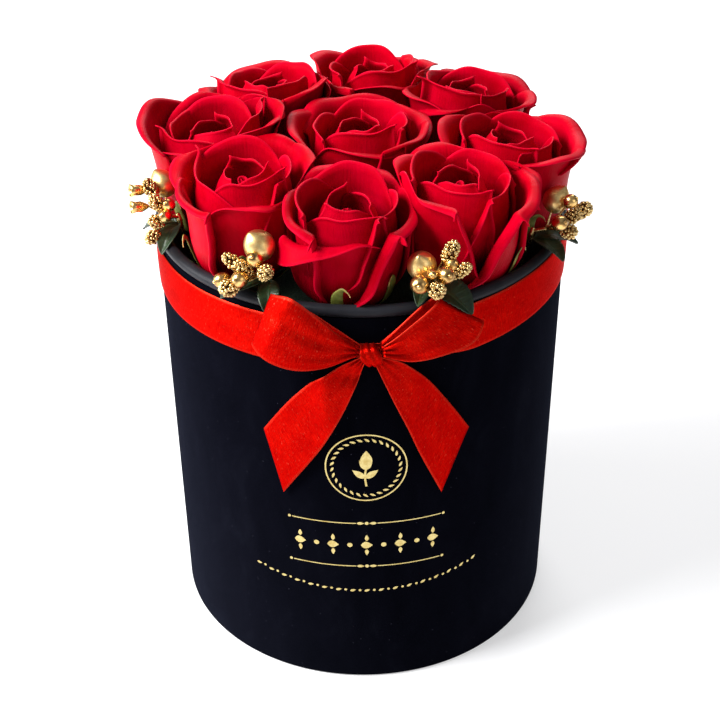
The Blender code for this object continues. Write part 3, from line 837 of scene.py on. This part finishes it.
def petal_sheet(rng, whorl, middle, hand, hood, droop, lean, layer, lips, tall=0.0, side=1.0):
    """One petal in the head's own frame.

    u runs from the tucked side (-1) to the free side (1) and v from the foot to the upper edge.
    The upper edge and the free side both fold outward, so the corner between them makes the tip.
    hood rounds the petal and folds it along its whole top, droop lets the tip hang, lean slants it,
    layer moves it outward, lips and side scale its two folds and tall its length.
    """
    u = np.linspace(-1, 1, 33)[None, :]
    v = np.linspace(0, 1, 36)[:, None] ** 0.9
    along, radius, height, angle = whorl.run
    free = np.clip((u + 1) / 2, 0, 1)
    total = along[-1] * (1 + whorl.uneven * rng.uniform(-1, 1) + 0.05 * hood + tall)
    hang = rng.uniform(*whorl.hang) * (1 - hood) + 0.19 * hood
    corner = rng.uniform(*whorl.corner) * (1 - hood) + 0.17 * hood
    length = total * (1 - np.where(u < 0, hang * np.abs(u) ** 2.3, corner * np.abs(u) ** 2.8))
    slow, quick = np.sin(3.3 * u + rng.uniform(0, 6)), np.sin(8.5 * u + rng.uniform(0, 6))
    length = length + whorl.wave * (slow + 0.45 * quick)

    band_free = (0.22 + 0.88 * free**1.6) * (1 + droop)
    fold_band = whorl.lip * lips * ((1 - hood) * band_free + hood * (1.30 - 0.75 * u**2))
    bend_free = (0.35 + 0.75 * free**1.3) * (1 + 0.4 * droop)
    bend = np.radians(whorl.fold) * ((1 - hood) * bend_free + hood * (0.80 - 0.25 * u**2))
    crisp = whorl.crisp * (1 - hood) + 0.95 * hood
    s = v * length
    psi = np.interp(s, along, angle) - bend * smooth((s - (length - fold_band)) / (crisp * fold_band))
    ds = np.diff(s, axis=0, prepend=0)
    rho = radius[0] + np.cumsum(np.cos(psi) * ds, 0)
    z = height[0] + np.cumsum(np.sin(psi) * ds, 0)
    wall_share = np.clip(s / total, 0, 1)

    narrowing = 1 - 0.10 * smooth((wall_share - 0.6) / 0.4)
    half = math.radians(whorl.half_angle) * (1 + 0.06 * rng.uniform(-1, 1)) * narrowing
    reach = np.interp(s, along, radius)
    to_side = (1 - u) * half * reach
    rolled = whorl.side_roll * (0.35 + 0.65 * lips) * (1 - 0.7 * hood)
    flap = side * rolled * smooth((wall_share - 0.16) / 0.35)
    t = np.clip(flap - to_side, 0, None)
    tight = whorl.side_radius
    easing = 1 - 0.35 * smooth((wall_share - 0.75) / 0.25)
    most = 0.5 + whorl.side_turn * smooth((wall_share - 0.2) / 0.4) * easing
    swing = np.minimum(t / tight, most)
    straight = np.clip(t - tight * most, 0, None)
    push = tight * (1 - np.cos(swing)) + straight * np.sin(most)
    lost = t - tight * np.sin(swing) - straight * np.cos(most)
    turn = u * half - lost / np.maximum(reach, 4) + lean * (wall_share - 0.5)

    rho = rho + push + layer + u * whorl.tuck * smooth(wall_share / 0.4)
    rho = rho + whorl.facet * (np.abs(u) ** 2.2 - 0.4) * smooth(wall_share / 0.6)
    a, b = rng.uniform(0, 6, 2)
    rho = rho + whorl.wave * 0.8 * np.sin(4.2 * u + a + 2.2 * wall_share) * smooth((wall_share - 0.4) / 0.6)
    z = z + 0.25 * np.sin(6 * u + b) * smooth((wall_share - 0.7) / 0.3)
    # edge is a painted highlight: it pales and pinks the petal's colour towards the upper edge and the free
    # side, where the lips catch the light
    v_edge = smooth((s - length + 1.1) / 0.9)
    u_edge = smooth((0.8 - to_side) / 0.7) * smooth((wall_share - 0.25) / 0.2)
    # low is painted shade: a weight that is 1 at the foot and darkens the petal's colour there, where the cup
    # lies in shade
    low = 1 - smooth((wall_share - 0.05) / 0.7)
    return rho, middle + hand * turn, z, stacked((u + 1) / 2 + middle, v), np.maximum(v_edge, u_edge), low


def pressed(rho, turn, limit):
    """Draws in what would pass the limit, as petals pressed against the next rose are."""
    most = limit(turn)
    share = rho / most
    knee = 0.9
    soft = knee + (1 - knee) * np.tanh((share - knee) / (1 - knee))
    return np.where(share > knee, soft, share) * most


def plain_petals(rng, k, whorl, spin, hand):
    """The petals of a whorl that the photo does not show: more hooded at the back than in front."""
    rows = []
    for i in range(whorl.n):
        world = math.radians(spin) + k * 0.9 + TURN * i / whorl.n + rng.uniform(-0.1, 0.1)
        back = 0.5 + 0.5 * math.sin(world)
        hood = np.clip(1.6 * back - 0.35 + rng.uniform(-0.2, 0.2), 0, 1) if k else 0.0
        droop = (1 - back) * rng.uniform(0, 0.4)
        lean = rng.uniform(-0.35, 0.2) * (k > 0)
        rows.append((math.degrees(world), hand, hood, droop, lean, 0.0, 1.0))
    return rows


def rose_head(name, matrix, limit, upright, seed, spin, hand, rise, girth):
    """All petals of one rose, and the rolled bud in their middle."""
    body = f"rose_{name}"
    rng = np.random.default_rng(seed)
    mesh = Mesh()
    facing = math.atan2(matrix[1][0], matrix[0][0])
    for k, whorl in enumerate(WHORLS):
        if k and name in PETALS:
            rows = PETALS[name][k - 1]
        else:
            rows = plain_petals(rng, k, whorl, spin, hand)
        for world, *shape in rows:
            rho, turn, z, uv, edge, low = petal_sheet(rng, whorl, math.radians(world) - facing, *shape)
            rho = pressed(rho * (girth if k == 2 else 1.0), turn, limit)
            z = z * rise
            x = rho * np.cos(turn) - upright * np.clip(z - FOOT, 0, None)
            mesh.add(stacked(x, rho * np.sin(turn), z) * MM, grid(*rho.shape), uv, edge, low)
    red = petal_reds[seed % 3]
    head = mesh.build(f"rose_{name}_head", red, body, "soap_petal", matrix, thickness=0.45 * MM)
    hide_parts(f"rose_{name}_petals")

    heart = Mesh()
    share = np.linspace(0, 1, 46)[None, :]
    theta = share * 1.45 * TURN
    v = np.linspace(0, 1, 14)[:, None]
    top = 38.8 + 0.9 * np.sin(theta * 0.9 + rng.uniform(0, 6)) - 3.0 * share**2
    z = (17 + (top - 17) * v) * rise
    r = 0.6 + 1.0 * theta / TURN + 0.4 * smooth((v - 0.72) / 0.28) - 0.3 * (1 - v)
    points = stacked(r * np.cos(theta) - upright * (z - FOOT), r * np.sin(theta), z) * MM
    # painted light on the bud: edge paints a highlight on its upper edge, and low paints shade towards its
    # foot
    edge = smooth((v - 0.93) / 0.07) + 0 * theta
    low = 1 - smooth((v - 0.3) / 0.6) + 0 * theta
    heart.add(points, grid(14, 46), stacked(theta / 6, v), edge, low)
    bud = heart.build(f"rose_{name}_heart", heart_red, body, "soap_petal", matrix, thickness=0.45 * MM)
    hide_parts(f"rose_{name}_bud")


def rose_green(name, matrix, upright, seed, girth, first):
    """The cup under the petals with its five curled sepals, and the stem."""
    body = f"rose_{name}"
    rng = np.random.default_rng(1000 + seed)
    mesh = Mesh()
    cup = [(1.9, -8.0), (2.4, -7.9), (3.0, -7.0), (4.6, -5.0), (6.2, -2.6), (7.0, -0.8), (6.4, -0.3)]
    lathe(mesh, np.array(cup) * MM, 28)
    u = np.linspace(-1, 1, 7)[None, :]
    v = np.linspace(0, 1, 40)[:, None]
    for i in range(5):
        middle = math.radians(first + 72 * i + rng.uniform(-8, 8))
        tall, bow = rng.uniform(0.5, 4.0), rng.choice((-1, 1)) * rng.uniform(0.7, 1.1)
        low_run = [(6.2, -1.4, 0), (12.6, 0.8, 0), (19.2, 6.5, 0)]
        high_run = [(22.6, 12, 0.2), (23.6, 15.8, 0.9), (24.6, 18, 2.6), (25.2, 17.6, 4.4), (25.2, 15.9, 5.4)]
        path = spline(low_run + [(r, z + tall, side) for r, z, side in high_run], 40)
        width = 2.7 * np.clip(1.0 - v, 0, 1) ** 0.45 * (1 - 0.45 * smooth((v - 0.45) / 0.3)) + 0.10
        across = u * width * (1 - 0.6 * smooth((v - 0.7) / 0.3)) + bow * path[:, 2:]
        rho = path[:, :1] * (girth + (1 - girth) * (1 - smooth(v / 0.3))) - 0.5 * u**2 * (1 - v)
        z = path[:, 1:2] - u * width * bow * 0.9 * smooth((v - 0.62) / 0.2)
        x = rho * math.cos(middle) - across * math.sin(middle) - upright * np.clip(z - FOOT, 0, None)
        y = rho * math.sin(middle) + across * math.cos(middle)
        mesh.add(stacked(x, y, z) * MM, grid(40, 7), stacked(u * 0.1, v), smooth((v - 0.7) / 0.3) + 0 * u)
    piece = mesh.build(f"rose_{name}_sepals", sepal_green, body, "calyx", matrix, thickness=0.35 * MM)
    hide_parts(f"rose_{name}_calyx")

    cane = Mesh()
    z = np.linspace(STEM_END, STEM_TOP, 30)
    ripple = 1.5 + 0.06 * np.sin(z / MM * 2.1)
    lathe(cane, [(1.0 * MM, z[0]), *[(r * MM, h) for r, h in zip(ripple, z)], (1.0 * MM, z[-1])], 18)
    stick = cane.build(f"rose_{name}_cane", stem_green, body, "stem", matrix)
    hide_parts(f"rose_{name}_stem")


def rose(name, seed, spin, hand, rise, girth, first_sepal):
    low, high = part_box(f"rose_{name}_stem")
    axis = joint_axis[f"rose_{name}"].normalized()
    matrix = along_axis(axis, (low + high) / 2 - axis * ((STEM_TOP + STEM_END) / 2))
    limit, upright = (middle_cell, 0.0) if name == "centre" else (ring_cell, 0.13)
    rose_head(name, matrix, limit, upright, seed, spin, hand, rise, girth)
    rose_green(name, matrix, upright, seed, girth, first_sepal)


# Each rose: seed, turn of its petals, the way they overlap, how tall and wide its head is, and the
# direction of its first sepal.
ROSES = {
    "front": (1, 30, -1, 0.93, 0.88, -9),
    "front_right": (2, 10, 1, 1.0, 0.97, 30),
    "right": (3, 50, 1, 0.98, 1.0, 86),
    "back_right": (4, 20, -1, 1.01, 1.0, 56),
    "back": (5, 40, 1, 1.02, 1.0, 76),
    "back_left": (6, 0, -1, 1.02, 1.0, 36),
    "left": (7, 25, 1, 0.99, 1.0, 61),
    "front_left": (8, 60, 1, 1.0, 0.95, -27),
    "centre": (9, 15, 1, 1.02, 1.0, 51),
}
for rose_name, rose_row in ROSES.items():
    rose(rose_name, *rose_row)


# ---- gold picks
GOLDEN_ANGLE = 2.399963
BEAD_R = 0.70 * MM
HUB_SHARE = 0.42
CUP_REACH = np.array([3.4, 0, 1.2])


def turned_to(aim):
    return np.array(Vector((0, 0, 1)).rotation_difference(Vector(aim)).to_matrix())


def sphere(mesh, centre, size, aim=(0, 0, 1), around=20, rings=12, pear=0.0, painted_shade=0.0, nub=False):
    """A ball or drawn-out berry. pear narrows its far end to a small point and nub sets a dark-ringed button
    there. A nonzero shade weight darkens all of it with painted shade, as on a bud's core between its beads."""
    t = np.linspace(0, math.pi, rings + 1)[1:-1][:, None]
    a = np.linspace(0, TURN, around, endpoint=False)[None, :]
    ring = stacked(np.sin(t) * np.cos(a), np.sin(t) * np.sin(a), np.cos(t)).reshape(-1, 3)
    points = np.concatenate([ring, [[0, 0, 1], [0, 0, -1]]])
    if pear:
        flat = np.hypot(points[:, 0], points[:, 1])
        points[:, :2] *= (1 - 0.16 * np.clip(points[:, 2], 0, 1))[:, None]
        points[:, 2] += pear * np.exp(-((flat / 0.30) ** 2)) * (points[:, 2] > 0)
    mark = np.full(len(points), float(painted_shade))
    if nub:
        mark = np.exp(-(((np.cos(0.42) - points[:, 2]) / 0.05) ** 2)) * (points[:, 2] > 0)
    faces = [f[::-1] for f in grid(rings - 1, around, wrap=True)]
    n = (rings - 1) * around
    last = n - around
    faces += [(n, j, (j + 1) % around) for j in range(around)]
    faces += [(n + 1, last + (j + 1) % around, last + j) for j in range(around)]
    turn = turned_to(aim)
    mesh.add(points * size @ turn.T + np.asarray(centre), faces, edge=mark)
    if nub:
        spot = np.asarray(centre) + turn @ np.array([0, 0, size[2] * 0.97])
        sphere(mesh, spot, (size[0] * 0.24, size[0] * 0.24, size[0] * 0.16), aim, 10, 6)


def grain_bud(mesh, centre, aim, radius, length, rng):
    """A drawn-out bud covered all over in small beads over a core painted dark, as painted shade between the
    beads.
    """
    sphere(mesh, centre, (radius * 0.86, radius * 0.86, length * 0.9), aim, 12, 8, painted_shade=1.0)
    turn = turned_to(aim)
    area = 4 * math.pi * radius * (0.35 * radius + 0.65 * length)
    beads = int(area / (1.75 * MM * MM))
    for i in range(beads):
        z = 1 - 2 * (i + 0.5) / beads
        a = i * GOLDEN_ANGLE + rng.uniform(-0.25, 0.25)
        flat = math.sqrt(1 - z * z)
        spot = np.array([radius * flat * math.cos(a), radius * flat * math.sin(a), length * z])
        size = BEAD_R * rng.uniform(0.78, 1.22)
        sphere(mesh, centre + turn @ spot, (size, size, size), around=8, rings=6)


def wire(mesh, start, end, bend, radius=0.45 * MM):
    """A thin wire from start to end that bows by bend."""
    t = np.linspace(0, 1, 12)[:, None]
    path = (1 - t) ** 2 * start + 2 * t * (1 - t) * ((start + end) / 2 + bend) + t * t * end
    ahead = np.gradient(path, axis=0)
    ahead /= np.linalg.norm(ahead, axis=1, keepdims=True)
    side = np.cross(ahead, [0.3, 0.9, 0.1])
    side /= np.linalg.norm(side, axis=1, keepdims=True)
    other = np.cross(ahead, side)
    a = np.linspace(0, TURN, 8, endpoint=False)[None, :, None]
    points = path[:, None] + (side[:, None] * np.cos(a) + other[:, None] * np.sin(a)) * radius
    mesh.add(points, grid(12, 8, wrap=True) + [tuple(range(8))[::-1], tuple(range(88, 96))])


def tulip(mesh, centre, aim, size):
    """A small open cup of metal foil with a pinched foot: its outside, then its inside."""
    outside = [(0.22, 0), (0.50, 0.4), (0.82, 1.1), (0.80, 1.9), (0.98, 2.6)]
    inside = [(0.88, 2.6), (0.66, 1.9), (0.68, 1.2), (0.36, 0.6), (0.12, 0.4)]
    turn = Vector((0, 0, 1)).rotation_difference(Vector(aim)).to_matrix().to_4x4()
    lathe(mesh, np.array(outside + inside) * size, 8, matrix=Matrix.Translation(Vector(centre)) @ turn)


def leaf_blade(mesh, yaw, rise, length, width, foot=(1.5, 2.0)):
    """A saw-edged leaf from the pick's foot: rise lifts it, and its end droops again."""
    nu, nv = 13, 44
    u = np.linspace(-1, 1, nu)[None, :]
    v = np.linspace(0, 1, nv)[:, None]
    teeth = 1 + 0.07 * (np.abs(((v * 12) % 1) - 0.5) * 2 - 0.5)
    half = width / 2 * np.sin(math.pi * v**0.85) ** 0.75 * teeth + 0.15
    pitch = math.radians(rise) - (0.55 - 0.25 * math.sin(math.radians(rise))) * v * 1.6
    step = length / (nv - 1)
    along = foot[0] + np.concatenate([[[0]], np.cumsum(np.cos(pitch[1:]) * step, 0)])
    z = foot[1] + np.concatenate([[[0]], np.cumsum(np.sin(pitch[1:]) * step, 0)])
    fold = 0.22 * width * np.abs(u) ** 1.4 * np.sin(math.pi * v**0.85) - 0.3 * np.cos(8 * v + 3 * u)
    y = u * half
    a = math.radians(yaw)
    out = along - np.sin(pitch) * fold
    turned = out * math.cos(a) - y * math.sin(a), out * math.sin(a) + y * math.cos(a)
    points = stacked(*turned, z + np.cos(pitch) * fold)
    rib = 1 - smooth((np.abs(y) - 0.12) / 0.28)
    phase = (v * 9 - np.abs(u) * 1.1) % 1
    veins = (1 - smooth(np.abs(phase - 0.5) / 0.10)) * (np.abs(u) < 0.92)
    mesh.add(points * MM, grid(nv, nu), stacked(u, v), np.maximum(rib, 0.5 * veins))


# The parts of each pick in its own frame, in mm: out, across, up, radius and half length. A cup has
# only the place of its mouth, and a leaf its yaw, rise, length and width. The picks at the back,
# which the photo does not show, are laid out in the same way.
BACK_PICK = dict(
    ball=[(2.0, -4.2, 13.8, 5.3, 5.7)],
    berry=[(8.8, -5.6, 9.6, 3.1, 3.4), (10.4, 1.4, 12.8, 2.9, 3.5), (6.0, 5.4, 12.6, 2.7, 3.0)],
    bud=[(5.0, 5.6, 18.2, 2.4, 4.2), (8.6, 8.4, 11.4, 2.3, 4.3), (12.8, -2.2, 8.2, 2.7, 3.5)],
    cup=[],
    leaf=[(38, 22, 19, 10.5), (-32, 18, 17, 8.5)],
)
PICKS = {
    "front_left": dict(
        ball=[(0.6, -1.9, 16.8, 5.6, 5.9)],
        berry=[(6.0, -0.7, 15.0, 2.9, 3.5), (11.0, -4.9, 8.8, 3.0, 3.4), (10.7, -12.9, 5.8, 2.8, 3.2)],
        bud=[(6.0, -10.2, 11.1, 2.1, 4.2), (7.5, -5.1, 11.0, 2.1, 4.2), (6.7, 3.2, 10.6, 2.5, 4.1),
             (13.3, -8.5, 5.5, 2.7, 3.4)],
        cup=[],
        leaf=[(-42, 16, 18, 8.0), (26, 8, 15.5, 7.5)],
    ),
    "front_right": dict(
        ball=[(2.3, -3.0, 12.6, 5.2, 5.8)],
        berry=[(10.5, -6.5, 11.2, 3.3, 3.6), (10.1, -2.2, 14.5, 1.9, 3.2), (10.3, 2.7, 13.2, 3.2, 4.0),
               (5.9, 6.6, 13.9, 2.7, 2.9)],
        bud=[(4.2, 6.4, 18.0, 2.4, 4.4), (8.0, 9.0, 12.0, 2.1, 4.7), (13.9, -1.4, 10.2, 2.7, 3.1)],
        cup=[],
        leaf=[(37, 12, 19.5, 12.5), (-30, 24, 12.5, 6.0), (38, 66, 13, 6.0)],
    ),
    "right": dict(
        ball=[(3.3, 9.2, 15.4, 5.0, 5.4)],
        berry=[(9.6, 5.4, 19.0, 2.7, 2.9), (10.6, -5.4, 15.4, 2.8, 3.6)],
        bud=[(14.2, 8.6, 15.6, 2.5, 3.4), (12.2, 4.6, 14.0, 2.3, 3.3), (13.9, -1.2, 10.8, 2.2, 3.3)],
        cup=[],
        leaf=[(-20, 20, 16, 8.5), (30, 20, 17, 8.5)],
    ),
    "left": dict(
        ball=[(1.7, -6.5, 16.4, 5.1, 5.5)],
        berry=[(2.7, 6.9, 14.1, 2.4, 2.7), (5.3, 8.4, 11.0, 2.5, 2.8)],
        bud=[(7.0, -1.9, 18.2, 2.3, 3.8), (6.6, 3.6, 14.8, 2.2, 3.6), (8.7, 6.4, 8.6, 2.3, 3.6),
             (11.8, 5.8, 2.6, 2.2, 3.0)],
        cup=[(11.5, -3.3, 18.7), (13.1, 0.6, 14.0)],
        leaf=[(50, 10, 16, 8.0), (-30, 14, 15, 7.5)],
    ),
    "back_right": BACK_PICK,
    "back_left": BACK_PICK,
}


def pick(name, seed):
    rng = np.random.default_rng(500 + seed)
    axis = joint_axis[f"pick_{name}"].normalized()
    a = math.atan2(axis.y, axis.x)
    matrix = along_axis(axis, Vector((PICK_RADIUS * math.cos(a), PICK_RADIUS * math.sin(a), PICK_ROOT)))
    body, parts = f"pick_{name}", PICKS[name]
    ends = np.array([row[:3] for kind in ("ball", "berry", "bud", "cup") for row in parts[kind]])
    hub = (HUB_SHARE * ends.mean(0) + np.array([0, 0, 0.5])) * MM
    balls, berries, grains, wires = Mesh(), Mesh(), Mesh(), Mesh()

    def away(where, *tilt):
        aim = where - hub
        return aim / np.linalg.norm(aim) + np.array(tilt)

    def stalk(where):
        wire(wires, hub, where, rng.uniform(-1, 1, 3) * MM)

    for *spot, r, half in parts["ball"]:
        where = np.array(spot) * MM
        lean = (0.25, 0.35 * np.sign(spot[1]), 0.9)
        sphere(balls, where, np.array([r, r, half]) * MM, lean, 40, 28, pear=0.10)
        stalk(where)
    for *spot, r, half in parts["berry"]:
        where = np.array(spot) * MM
        sphere(berries, where, np.array([r, r, half]) * MM, away(where, 0.7, 0, 0.2), 24, 18, nub=True)
        stalk(where)
    for *spot, r, half in parts["bud"]:
        where = np.array(spot) * MM
        grain_bud(grains, where, away(where, 0, 0, 0.25), r * MM, half * MM, rng)
        stalk(where)
    for row in parts["cup"]:
        where = (np.array(row) - CUP_REACH) * MM
        tulip(berries, where, (0.95, 0.1, 0.30), 2.6 * MM)
        stalk(where)
    shaft_run = [(0.5, -72), (0.9, -71), (0.9, 0), (1.1, 3), (0.7, 6)]
    lathe(wires, np.array(shaft_run) * MM, 12)
    wire(wires, np.array([0, 0, 4.5]) * MM, hub, np.zeros(3), 0.8 * MM)
    shaft = wires.build(f"pick_{name}_wires", gold_grain, body, "gold", matrix)
    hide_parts(f"pick_{name}_cluster")
    balls.build(f"pick_{name}_ball", gold_ball, body, "gold", matrix)
    berries.build(f"pick_{name}_berries", gold_berry, body, "gold", matrix)
    grains.build(f"pick_{name}_buds", gold_grain, body, "gold", matrix)

    foliage = Mesh()
    for row in parts["leaf"]:
        leaf_blade(foliage, *row)
    leaf = foliage.build(f"pick_{name}_foliage", leaf_green, body, "leaf", matrix, thickness=0.3 * MM)
    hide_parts(f"pick_{name}_leaf")


for index, pick_name in enumerate(PICKS):
    pick(pick_name, index)


# ---- floor, light and camera
floor_data = bpy.data.meshes.new("floor")
floor_data.from_pydata([(-8, -8, 0), (8, -8, 0), (8, 8, 0), (-8, 8, 0)], [], [(0, 1, 2, 3)])
floor = bpy.data.objects.new("floor", floor_data)
scene.collection.objects.link(floor)
glow = dict(Emission_Strength=0.5, Emission_Color=(1, 1, 1))
floor_data.materials.append(Shading("floor_pale", (0.56, 0.56, 0.57), 0.7, **glow).mat)


# Each light: place, the height it aims at on the box axis, size and power.
LIGHTS = {
    "key": ((-0.86, -0.28, 1.00), 0.18, 0.6, 31),
    "window": ((-0.95, -0.02, 0.42), 0.15, 0.5, 7),
    "fill": ((0.95, -0.95, 0.75), 0.15, 0.9, 2.8),
    "back": ((0.1, 1.0, 0.9), 0.18, 0.9, 11),
}
for light_name, (place, aim_z, size, power) in LIGHTS.items():
    light_data = bpy.data.lights.new(light_name, "AREA")
    light_data.shape = "DISK"
    light_data.size = size
    light_data.energy = power
    lamp = bpy.data.objects.new(light_name, light_data)
    scene.collection.objects.link(lamp)
    lamp.location = place
    lamp.rotation_euler = (Vector((0, 0, aim_z)) - Vector(place)).to_track_quat("-Z", "Y").to_euler()

world = bpy.data.worlds.new("studio")
world.use_nodes = True
background = world.node_tree.nodes["Background"].inputs
background["Color"].default_value = (0.93, 0.95, 1.0, 1)
background["Strength"].default_value = 0.26
scene.world = world
scene.view_settings.view_transform = "Standard"

ELEVATION, ROLL = math.radians(34.74), math.radians(-0.5)
DISTANCE = 0.6101
aim = Vector((0, 0, 0.088))
camera_data = bpy.data.cameras.new("camera")
camera_data.sensor_width = 36
camera_data.lens = 70.98
camera_data.shift_x = -0.0041
camera_data.shift_y = 0.0483
camera = bpy.data.objects.new("camera", camera_data)
scene.collection.objects.link(camera)
back = Vector((0, -math.cos(ELEVATION), math.sin(ELEVATION)))
camera.location = aim + back * DISTANCE
roll_turn = Matrix.Rotation(ROLL, 4, back).to_quaternion()
camera.rotation_euler = (roll_turn @ (-back).to_track_quat("-Z", "Y")).to_euler()
scene.camera = camera
